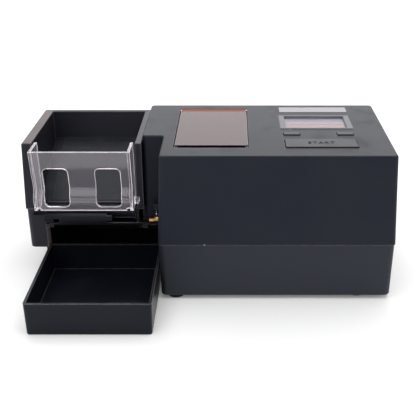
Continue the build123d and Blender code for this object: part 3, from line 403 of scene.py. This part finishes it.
@dataclass(frozen=True)
class ClearSheet:
    """A transparent moulded sheet whose cut edges carry a painted highlight."""

    name: str
    tint: Colour
    edge_colour: Colour
    haze: float = 0.25
    edge_haze: float = 0.9
    roughness: float = 0.08
    reach: float = 0.9 * MM
    # The rear band is painted bright orange for light shining through the lid from behind.
    painted_backlight_colour: Colour | None = None
    band_start: float = 0.0
    shine: float = 0.5
    shine_tint: Colour = (1.0, 1.0, 1.0)

    def make(self) -> bpy.types.Material:
        """Builds the material.

        Returns:
            The finished material.
        """
        material, graph, shader, places = new_material(self.name)
        rub_and_highlight = graph.place(Effects.edge_rub_and_highlight(), Vector=places, Reach=self.reach)
        scuffs = graph.place(Effects.scuffs(), Vector=places, Amount=0.6)
        edge = rub_and_highlight.outputs["Mask"]
        colour = self.tint
        drift = graph.noise(places, 30.0, 3.0)
        rough = graph.maths("ADD", graph.maths("MULTIPLY", drift, 0.06), self.roughness)
        # Painted light: bright orange rear band for light shining through from behind, and a
        # rougher surface there.
        if self.painted_backlight_colour:
            place = graph.node("ShaderNodeSeparateXYZ")
            graph.feed(place.inputs[0], places)
            band = graph.step(place.outputs["Y"], self.band_start, self.band_start + 0.6 * MM)
            colour = graph.mix(band, colour, self.painted_backlight_colour)
            rough = graph.maths("ADD", rough, graph.maths("MULTIPLY", band, 0.35))
        # Painted highlight: the cut edges are mixed towards the pale edge colour and shown more
        # strongly.
        graph.feed(shader.inputs["Base Color"], graph.mix(edge, colour, self.edge_colour))
        gained = graph.maths("MULTIPLY", edge, self.edge_haze - self.haze)
        marks = graph.maths("MULTIPLY", scuffs.outputs["Lines"], 0.2)
        alpha = graph.maths("ADD", graph.maths("ADD", gained, self.haze), marks)
        graph.feed(shader.inputs["Alpha"], alpha)
        graph.feed(shader.inputs["Roughness"], rough)
        shader.inputs["IOR"].default_value = ACRYLIC_IOR
        shader.inputs["Specular IOR Level"].default_value = self.shine
        shader.inputs["Specular Tint"].default_value = (*self.shine_tint, 1.0)
        return material


@dataclass(frozen=True)
class ClearMoulding:
    """A thick clear moulding that bends light, with frosted edges, and a painted glow that is faint
    over its face and bright at its edges.
    """

    name: str
    tint: Colour
    edge_colour: Colour
    roughness: float = 0.05
    edge_roughness: float = 0.45
    # The glow strength and the haze colour paint a glow: the face emits the haze colour, the edges
    # the pale edge colour.
    edge_glow: float = 1.3
    haze: Colour = (0.019, 0.017, 0.020)
    reach: float = 0.6 * MM

    def make(self) -> bpy.types.Material:
        """Builds the material.

        Returns:
            The finished material.
        """
        material, graph, shader, places = new_material(self.name)
        edge = graph.place(Effects.edge_rub_and_highlight(), Vector=places, Reach=self.reach).outputs["Mask"]
        drift = graph.maths("MULTIPLY", graph.noise(places, 60.0, 3.0), 0.05)
        frost = graph.maths("MULTIPLY", edge, self.edge_roughness)
        rough = graph.maths("ADD", graph.maths("ADD", drift, frost), self.roughness)
        graph.feed(shader.inputs["Base Color"], graph.mix(edge, self.tint, self.edge_colour))
        graph.feed(shader.inputs["Roughness"], rough)
        # Painted glow: the lid emits light though it is no lamp, faintly over its face and brightly
        # at its edges.
        graph.feed(shader.inputs["Emission Color"], graph.mix(edge, self.haze, self.edge_colour))
        shader.inputs["Emission Strength"].default_value = self.edge_glow
        shader.inputs["Transmission Weight"].default_value = 1.0
        shader.inputs["IOR"].default_value = ACRYLIC_IOR
        bump = graph.node("ShaderNodeBump")
        bump.inputs["Distance"].default_value = 0.03 * MM
        graph.feed(bump.inputs["Height"], graph.noise(places, 90.0, 2.0))
        graph.feed(shader.inputs["Normal"], bump.outputs[0])
        return material


@dataclass(frozen=True)
class TurnedMetal:
    """A turned, drawn or plated metal with fine lines."""

    name: str
    colour: Colour
    shade: Colour
    roughness: float = 0.28
    lines: float = 2600.0
    stretch: tuple[float, float, float] = (1.0, 0.06, 0.06)
    depth: float = 0.02 * MM

    def make(self) -> bpy.types.Material:
        """Builds the material.

        Returns:
            The finished material.
        """
        material, graph, shader, places = new_material(self.name)
        along = graph.node("ShaderNodeMapping")
        along.inputs["Scale"].default_value = self.stretch
        graph.feed(along.inputs["Vector"], places)
        marks = graph.noise(along.outputs[0], self.lines, 3.0)
        tarnish = graph.step(graph.noise(places, 90.0, 5.0), 0.4, 0.75)
        graph.feed(shader.inputs["Base Color"], graph.mix(tarnish, self.colour, self.shade))
        rough = graph.maths("ADD", graph.maths("MULTIPLY", tarnish, 0.2), self.roughness)
        graph.feed(shader.inputs["Roughness"], rough)
        shader.inputs["Metallic"].default_value = 1.0
        bump = graph.node("ShaderNodeBump")
        bump.inputs["Distance"].default_value = self.depth
        graph.feed(bump.inputs["Height"], marks)
        graph.feed(shader.inputs["Normal"], bump.outputs[0])
        return material


@dataclass(frozen=True)
class CircuitBoard:
    """Green lacquered board with faint copper tracks under the lacquer."""

    name: str
    lacquer: Colour = (0.015, 0.11, 0.045)
    track: Colour = (0.03, 0.19, 0.07)
    pitch: float = 2.5 * MM

    def make(self) -> bpy.types.Material:
        """Builds the material.

        Returns:
            The finished material.
        """
        material, graph, shader, places = new_material(self.name)
        tracks = graph.node("ShaderNodeTexBrick", offset=0.0)
        graph.feed(tracks.inputs["Vector"], places)
        tracks.inputs["Scale"].default_value = 1.0 / self.pitch
        tracks.inputs["Mortar Size"].default_value = 0.16
        noise = graph.step(graph.noise(places, 120.0, 1.0), 0.48, 0.52)
        shown = graph.maths("MULTIPLY", tracks.outputs["Fac"], noise)
        graph.feed(shader.inputs["Base Color"], graph.mix(shown, self.lacquer, self.track))
        bump = graph.node("ShaderNodeBump")
        bump.inputs["Distance"].default_value = 0.05 * MM
        graph.feed(bump.inputs["Height"], shown)
        graph.feed(shader.inputs["Normal"], bump.outputs[0])
        rough = graph.maths("ADD", graph.maths("MULTIPLY", shown, 0.15), 0.28)
        graph.feed(shader.inputs["Roughness"], rough)
        return material


class Finish(Enum):
    """Every finish on the machine."""

    COVER = MouldedPlastic("charcoal cover", (0.0090, 0.0122, 0.0200), (0.0130, 0.0155, 0.0225),
                           roughness=0.44, reach=1.3 * MM, edge=0.85, dust=1.0, scuff=1.0,
                           shine=0.21, shine_tint=(0.82, 0.80, 0.95))
    # A shade lighter than the cover: a painted reflection of the pale floor on the base's front
    # face.
    BASE = MouldedPlastic("charcoal base", (0.0150, 0.0170, 0.0235), (0.0185, 0.0200, 0.0262),
                          roughness=0.48, reach=1.4 * MM, edge=0.3, dust=0.4, scuff=0.3, shine=0.36)
    # The hopper's rim colour is rubbing and a painted reflection; its pale edges carry a painted
    # highlight too.
    HOPPER = MouldedPlastic("hopper charcoal", (0.0080, 0.0090, 0.0140), (0.0110, 0.0115, 0.0160),
                            roughness=0.40, reach=1.8 * MM, edge=0.6, dust=0.4, scuff=0.5,
                            shine=0.28, edge_colour=(0.23, 0.19, 0.19),
                            shine_tint=(0.86, 0.86, 1.0), rim_rub_and_reflection_colour=(0.075, 0.052, 0.048),
                            rim_end=-168.5 * MM)
    SLOPE = MouldedPlastic("ramp plastic", (0.0085, 0.0092, 0.0125), (0.0125, 0.0130, 0.0165),
                           roughness=0.38, scuff=0.8, shine=0.24, shine_tint=(0.86, 0.88, 1.0))
    TRAY = MouldedPlastic("tray plastic", (0.0036, 0.0040, 0.0078), (0.0056, 0.0060, 0.0102),
                          roughness=0.34, reach=1.4 * MM, edge=0.8, scuff=0.2, dust=0.3, shine=0.24)
    BLACK = MouldedPlastic("black plastic", (0.008, 0.008, 0.0095), (0.012, 0.012, 0.0135),
                           roughness=0.4)
    GUARD = MouldedPlastic("guard plastic", (0.0035, 0.0040, 0.0062), (0.0050, 0.0055, 0.0080),
                           roughness=0.34, shine=0.16)
    KEY = MouldedPlastic("key plastic", (0.015, 0.0155, 0.019), (0.0185, 0.0190, 0.0225),
                         roughness=0.42, grain=0.45 * MM, edge=0.5, scuff=0.5, shine=0.32,
                         shine_tint=(0.84, 0.85, 0.95))
    BEZEL = MouldedPlastic("display frame", (0.075, 0.078, 0.084), (0.095, 0.097, 0.102),
                           roughness=0.36, scuff=0.2)
    PLATE = MouldedPlastic("blank name strip", (0.27, 0.245, 0.275), (0.31, 0.285, 0.315),
                           roughness=0.3, grain=0.9 * MM, depth=0.01 * MM,
                           edge_colour=(0.6, 0.58, 0.6), shine=0.3)
    CHAMBER = MouldedPlastic("chamber plastic", (0.045, 0.028, 0.026), (0.06, 0.036, 0.033),
                             roughness=0.45)
    ACETAL = MouldedPlastic("natural acetal", (0.72, 0.71, 0.66), (0.78, 0.77, 0.73),
                            roughness=0.32, depth=0.01 * MM, edge_colour=(0.85, 0.85, 0.82))
    RUBBER = MouldedPlastic("foot rubber", (0.009, 0.009, 0.009), (0.014, 0.014, 0.014),
                            roughness=0.75, grain=0.5 * MM, depth=0.08 * MM, edge=0.15, shine=0.25)
    SILICONE = MouldedPlastic("dome silicone", (0.45, 0.45, 0.44), (0.52, 0.52, 0.51),
                              roughness=0.6, depth=0.01 * MM, edge_colour=(0.6, 0.6, 0.6))
    # Painted shade for the insides of gaps and recesses.
    SHADOW = MouldedPlastic("painted shade inside a gap", (0.0022, 0.0024, 0.0034),
                            (0.0030, 0.0032, 0.0042), roughness=0.75, edge=0.0, shine=0.08)
    # Painted highlight: pale pinkish light on the pillar's inner face.
    JAMB = MouldedPlastic("painted highlight on inner face", (0.60, 0.48, 0.46), (0.66, 0.53, 0.51),
                          roughness=0.4)
    INK = MouldedPlastic("legend ink", (0.003, 0.003, 0.0035), (0.005, 0.005, 0.0055),
                         roughness=0.6, edge=0.0, shine=0.15)
    # Painted reflections in the display window: lilac-grey over its rear part, pink over its front
    # part.
    CELL = MouldedPlastic("display film with painted lilac reflection", (0.50, 0.465, 0.53), (0.54, 0.50, 0.57), roughness=0.5,
                          grain=0.4 * MM, depth=0.0, edge=0.0)
    DIFFUSER = MouldedPlastic("display film with painted pink reflection", (0.62, 0.40, 0.35), (0.66, 0.43, 0.38),
                              roughness=0.5, grain=0.4 * MM, depth=0.0, edge=0.0)
    # Clear hopper lid, with a painted glow at its edges.
    CLEAR = ClearMoulding("clear lid", (0.95, 0.91, 0.96), (1.0, 0.92, 0.95))
    # Smoked lid: painted pale edge highlights, and a painted bright orange rear band lit from
    # behind.
    SMOKED = ClearSheet("smoked lid", (0.070, 0.034, 0.038), (0.52, 0.40, 0.44), haze=0.88,
                        roughness=0.22, reach=0.7 * MM, painted_backlight_colour=(0.26, 0.058, 0.022),
                        band_start=87.5 * MM, shine=0.30, shine_tint=(1.0, 0.88, 0.93))
    WINDOW = ClearSheet("display window", (0.20, 0.19, 0.22), (0.3, 0.3, 0.32), haze=0.18,
                        roughness=0.12)
    BRASS = TurnedMetal("turned brass", (0.52, 0.31, 0.12), (0.30, 0.18, 0.07))
    CHROME = TurnedMetal("ground and plated", (0.8, 0.8, 0.8), (0.7, 0.7, 0.7), roughness=0.12)
    STEEL = TurnedMetal("zinc-plated steel", (0.5, 0.5, 0.51), (0.4, 0.4, 0.4), roughness=0.35,
                        stretch=(0.3, 1.0, 0.3))
    BOARD = CircuitBoard("circuit board")

    def material(self) -> bpy.types.Material:
        """Gives this finish's material, and builds it at its first use."""
        return bpy.data.materials.get(self.value.name) or self.value.make()


# ------------------------------------------------------------------------------ sub-assemblies


class SubAssembly:
    """Pieces that belong together. A sub-class names its finishes and builds its new pieces."""

    finishes: dict[str, Finish] = {}

    def dress(self, nodes: dict[str, bpy.types.Object]) -> None:
        """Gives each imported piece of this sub-assembly its finish.

        Args:
            nodes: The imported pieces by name.
        """
        for name, finish in self.finishes.items():
            mesh = nodes[name].data
            mesh.materials.clear()
            mesh.materials.append(finish.material())
            LOG.info("dressed %s in %s", name, finish.value.name)

    def build(self) -> None:
        """Adds the sub-assembly's new pieces; most have none."""

    def make(self, nodes: dict[str, bpy.types.Object]) -> None:
        """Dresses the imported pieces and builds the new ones."""
        self.dress(nodes)
        self.build()


def deselect() -> None:
    """Leaves edit mode and clears the selection."""
    if bpy.context.object and bpy.context.object.mode != "OBJECT":
        bpy.ops.object.mode_set(mode="OBJECT")
    bpy.ops.object.select_all(action="DESELECT")


def repaint(node: bpy.types.Object, finish: Finish, low: Vector, high: Vector,
            along: tuple[float, float, float] | None = None) -> None:
    """Gives the faces inside a box another finish.

    Args:
        node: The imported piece.
        finish: The finish of those faces.
        low: Lowest corner of the box.
        high: Highest corner of the box.
        along: Where the faces look; any way when left out.
    """
    mesh = node.data
    mesh.materials.append(finish.material())
    slot = len(mesh.materials) - 1
    facing = Vector(along) if along else None
    for face in mesh.polygons:
        inside = all(low[i] <= face.center[i] <= high[i] for i in range(3))
        if inside and (facing is None or face.normal.dot(facing) > FACING):
            face.material_index = slot
    LOG.info("repainted part of %s in %s", node.name, finish.value.name)


def settle(piece: bpy.types.Object, name: str, finish: Finish, body: Body) -> bpy.types.Object:
    """Names a finished piece, puts its place into its mesh and hangs it on a body.

    Args:
        piece: The modelled object.
        name: Its name.
        finish: What it is made of.
        body: The body that it moves with.

    Returns:
        The same object.
    """
    deselect()
    piece.select_set(True)
    bpy.context.view_layer.objects.active = piece
    bpy.ops.object.transform_apply(location=True, rotation=True, scale=True)
    bpy.ops.object.shade_smooth_by_angle(angle=SMOOTH_ANGLE)
    piece.name = name
    piece.data.name = name
    piece.data.materials.clear()
    piece.data.materials.append(finish.material())
    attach(piece, body.value)
    LOG.info("built %s on %s", name, body.value)
    return piece


@dataclass
class MainBody(SubAssembly):
    """Cover, base, feet and the chassis inside them."""

    gap_side: float = 1.5 * MM
    gap_front: float = 4.0 * MM
    gap_top: float = 0.35 * MM
    key_gap: float = 1.0 * MM
    skin: float = 3.2 * MM

    finishes = {
        "top_cover": Finish.COVER,
        "base_tub": Finish.BASE,
        "chassis_plate": Finish.STEEL,
        "case_screws": Finish.STEEL,
        "feet": Finish.RUBBER,
    }

    def make(self, nodes: dict[str, bpy.types.Object]) -> None:
        """Dresses the pieces and paints shade into the gaps round the smoked lid and the keys."""
        super().make(nodes)
        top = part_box("top_cover")[1].z
        for name, side, front in (("chamber_lid", self.gap_side, self.gap_front),
                                  ("start_key", self.key_gap, self.key_gap),
                                  ("left_key", self.key_gap, self.key_gap),
                                  ("right_key", self.key_gap, self.key_gap)):
            low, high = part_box(name)
            repaint(nodes["top_cover"], Finish.SHADOW,
                    Vector((low.x - side, low.y - front, top - self.skin)),
                    Vector((high.x + side, high.y + side, top - self.gap_top)))


@dataclass
class HopperModule(SubAssembly):
    """Hopper for the empty tubes with its clear swing lid, and the bay under it."""

    finishes = {
        "hopper_shell": Finish.HOPPER,
        "left_base": Finish.HOPPER,
        "hopper_ramp": Finish.SLOPE,
        "ramp_strip": Finish.SLOPE,
        "hopper_lid": Finish.CLEAR,
        "tube_guard": Finish.GUARD,
        "tube_sensor": Finish.BLACK,
    }

    jamb_x: float = -162.2 * MM
    jamb_y: tuple[float, float] = (1.0 * MM, 15.0 * MM)
    jamb_z: tuple[float, float] = (1.0 * MM, 56.0 * MM)

    def make(self, nodes: dict[str, bpy.types.Object]) -> None:
        """Dresses the pieces and paints a pale pinkish highlight on the pillar's inner face, where
        the tray goes in.
        """
        super().make(nodes)
        repaint(nodes["left_base"], Finish.JAMB,
                Vector((self.jamb_x - 1.5 * MM, self.jamb_y[0] - 1.0 * MM, self.jamb_z[0])),
                Vector((self.jamb_x + 1.5 * MM, self.jamb_y[1], self.jamb_z[1])), (1.0, 0.0, 0.0))


@dataclass
class TubeStation(SubAssembly):
    """Nozzle, clamp, drop flap and feed drum."""

    finishes = {
        "nozzle": Finish.BRASS,
        "nozzle_collar": Finish.BLACK,
        "clamp_arm": Finish.BLACK,
        "clamp_pin": Finish.CHROME,
        "feed_drum": Finish.BLACK,
        "drum_gear": Finish.BLACK,
        "feed_pinion": Finish.BLACK,
        "feed_motor": Finish.BLACK,
        "drop_flap": Finish.BLACK,
    }


@dataclass
class CatchTray(SubAssembly):
    """Loose tray for the filled tubes."""

    finishes = {"catch_tray": Finish.TRAY}


@dataclass
class FillerStation(SubAssembly):
    """Smoked lid over the filler chamber, and the packing plate below it."""

    lip_depth: float = 6.0 * MM
    lip_edge: float = 0.5 * MM

    def make(self, nodes: dict[str, bpy.types.Object]) -> None:
        """Dresses the pieces and paints shade onto the smoked lid's front face behind the finger
        slot.
        """
        super().make(nodes)
        low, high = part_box("chamber_lid")
        repaint(nodes["chamber_lid"], Finish.SHADOW,
                Vector((low.x, low.y + self.lip_edge, low.z)),
                Vector((high.x, low.y + self.lip_depth, high.z)), (0.0, -1.0, 0.0))

    finishes = {
        "chamber_lid": Finish.SMOKED,
        "chamber_lid_pins": Finish.CHROME,
        "filler_chamber": Finish.CHAMBER,
        "packing_plate": Finish.ACETAL,
        "packer_pinion": Finish.ACETAL,
        "packer_bracket": Finish.STEEL,
        "packer_motor": Finish.STEEL,
    }


@dataclass
class ControlPanel(SubAssembly):
    """Display, name strip and keys."""

    legend_height: float = 7.4 * MM
    legend_thickness: float = 0.3 * MM
    cell_border: float = 0.6 * MM
    cell_thickness: float = 0.3 * MM
    cell_gap: float = 0.05 * MM
    pink_reflection_share: float = 0.52

    finishes = {
        "display_bezel": Finish.BEZEL,
        "display_glass": Finish.WINDOW,
        "display_module": Finish.BOARD,
        "name_strip": Finish.PLATE,
        "start_key": Finish.KEY,
        "left_key": Finish.KEY,
        "right_key": Finish.KEY,
        "start_dome": Finish.SILICONE,
        "left_dome": Finish.SILICONE,
        "right_dome": Finish.SILICONE,
    }

    def build(self) -> None:
        """Adds the lettering of the start key and the display's two layers, which carry painted
        reflections.
        """
        self.start_legend()
        low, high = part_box("display_glass")
        # The front share of the window carries the pink painted reflection, the rest the lilac one.
        split = low.y + (high.y - low.y) * self.pink_reflection_share
        self.film("display_pink_reflection_film", (low.x, low.y), (high.x, split), Finish.DIFFUSER)
        self.film("display_lilac_reflection_film", (low.x, split), (high.x, high.y), Finish.CELL)

    def film(self, name: str, near: tuple[float, float], far: tuple[float, float],
             finish: Finish) -> bpy.types.Object:
        """Lays one film just under the display window, with a raised rim all round.

        Args:
            name: Name of the film.
            near: x and y of its front left corner.
            far: x and y of its rear right corner.
            finish: What it is made of.

        Returns:
            The film.
        """
        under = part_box("display_glass")[0].z - self.cell_gap
        deselect()
        middle = ((near[0] + far[0]) / 2, (near[1] + far[1]) / 2, under - self.cell_thickness / 2)
        bpy.ops.mesh.primitive_cube_add(size=1.0, location=middle)
        sheet = bpy.context.object
        sheet.scale = (far[0] - near[0] - self.cell_border, far[1] - near[1] - self.cell_border,
                       self.cell_thickness)
        bpy.ops.object.transform_apply(location=False, rotation=False, scale=True)
        bpy.ops.object.mode_set(mode="EDIT")
        mesh = bmesh.from_edit_mesh(sheet.data)
        for face in mesh.faces:
            face.select_set(face.normal.z > 0.5)
        bmesh.update_edit_mesh(sheet.data)
        bpy.ops.mesh.inset(thickness=self.cell_border, depth=-self.cell_thickness / 8)
        bpy.ops.object.mode_set(mode="OBJECT")
        bevel = sheet.modifiers.new("soft edges", "BEVEL")
        bevel.width = self.cell_thickness / 8
        bevel.segments = 2
        bpy.ops.object.modifier_apply(modifier=bevel.name)
        return settle(sheet, name, finish, Body.HOUSING)

    def start_legend(self) -> bpy.types.Object:
        """Prints the word START on the middle of its key.

        Returns:
            The lettering.
        """
        low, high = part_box("start_key")
        deselect()
        bpy.ops.object.text_add(location=(0.0, 0.0, 0.0))
        words = bpy.context.object
        words.data.body = "START"
        words.data.align_x = "CENTER"
        words.data.align_y = "CENTER"
        words.data.size = self.legend_height
        words.data.space_character = 1.25
        words.data.extrude = self.legend_thickness / 2
        bpy.ops.object.convert(target="MESH")
        words = bpy.context.object
        middle = (low + high) / 2
        words.location = (middle.x, middle.y, high.z + self.legend_thickness / 4)
        return settle(words, "start_legend", Finish.INK, Body.START_KEY)


@dataclass
class InjectorDrive(SubAssembly):
    """Rod and carriage that push the filler out, with their drive."""

    finishes = {
        "injector_rod": Finish.BRASS,
        "carriage": Finish.ACETAL,
        "carriage_rack": Finish.ACETAL,
        "guide_rails": Finish.CHROME,
        "rail_brackets": Finish.STEEL,
        "drive_pinion": Finish.ACETAL,
        "drive_bracket": Finish.STEEL,
        "drive_motor": Finish.STEEL,
    }


@dataclass
class Electrics(SubAssembly):
    """Boards, inlet and switch."""

    finishes = {
        "control_board": Finish.BOARD,
        "power_supply": Finish.BOARD,
        "power_inlet": Finish.BLACK,
        "switch_frame": Finish.BLACK,
        "power_rocker": Finish.KEY,
    }


# ------------------------------------------------------------------------------ studio


@dataclass
class Studio:
    """Pale floor, soft lights and the camera."""

    camera_place: tuple[float, float, float] = (0.0256, -0.7342, 0.400)
    camera_tilt: float = 66.1
    camera_lens: float = 69.3
    camera_shift: float = -0.058
    floor_size: float = 12.0
    floor_lift: float = 0.12
    sky: float = 0.42
    lights: list[tuple] = field(default_factory=lambda: [
        ("overhead softbox", (0.0, 0.2, 1.7), (0.0, 0.1, 0.0), 2.4, 30.0),
        ("rear softbox", (0.1, 2.2, 1.0), (0.0, 0.0, 0.1), 2.2, 24.0),
        ("front softbox", (-0.8, -1.8, 1.2), (0.0, 0.0, 0.05), 1.2, 6.0),
        ("right softbox", (1.7, -0.3, 0.8), (0.0, 0.0, 0.05), 1.0, 6.0),
    ])

    def floor(self) -> None:
        """Lays the floor."""
        deselect()
        bpy.ops.mesh.primitive_plane_add(size=self.floor_size, location=(0.0, 0.0, 0.0))
        floor = bpy.context.object
        floor.name = "floor"
        material, _, shader, _ = new_material("pale floor")
        shader.inputs["Base Color"].default_value = (0.92, 0.92, 0.92, 1.0)
        shader.inputs["Roughness"].default_value = 0.9
        shader.inputs["Emission Color"].default_value = (1.0, 1.0, 1.0, 1.0)
        shader.inputs["Emission Strength"].default_value = self.floor_lift
        floor.data.materials.append(material)

    def light(self) -> None:
        """Hangs the softboxes and lights the sky."""
        for name, place, aim, size, power in self.lights:
            lamp = bpy.data.lights.new(name, "AREA")
            lamp.energy = power
            lamp.size = size
            holder = bpy.data.objects.new(name, lamp)
            bpy.context.scene.collection.objects.link(holder)
            holder.location = place
            towards = Vector(aim) - Vector(place)
            holder.rotation_euler = towards.to_track_quat("-Z", "Y").to_euler()
        world = bpy.data.worlds.new("pale studio")
        bpy.context.scene.world = world
        world.use_nodes = True
        world.node_tree.nodes["Background"].inputs["Color"].default_value = (1.0, 1.0, 1.0, 1.0)
        world.node_tree.nodes["Background"].inputs["Strength"].default_value = self.sky
        bpy.context.scene.view_settings.view_transform = "Standard"

    def camera(self) -> None:
        """Sets up the camera."""
        data = bpy.data.cameras.new("camera")
        data.lens = self.camera_lens
        data.shift_x = self.camera_shift
        camera = bpy.data.objects.new("camera", data)
        bpy.context.scene.collection.objects.link(camera)
        camera.location = self.camera_place
        camera.rotation_euler = (math.radians(self.camera_tilt), 0.0, 0.0)
        bpy.context.scene.camera = camera

    def make(self) -> None:
        """Sets up the whole studio."""
        self.camera()
        self.floor()
        self.light()


def main() -> None:
    """Builds the looks of the whole machine."""
    logging.basicConfig(level=logging.INFO, format="%(name)s: %(message)s")
    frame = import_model()
    Studio().make()
    for part in (MainBody(), HopperModule(), TubeStation(), CatchTray(), FillerStation(),
                 ControlPanel(), InjectorDrive(), Electrics()):
        part.make(frame["nodes"])


if __name__ == "__main__":
    main()
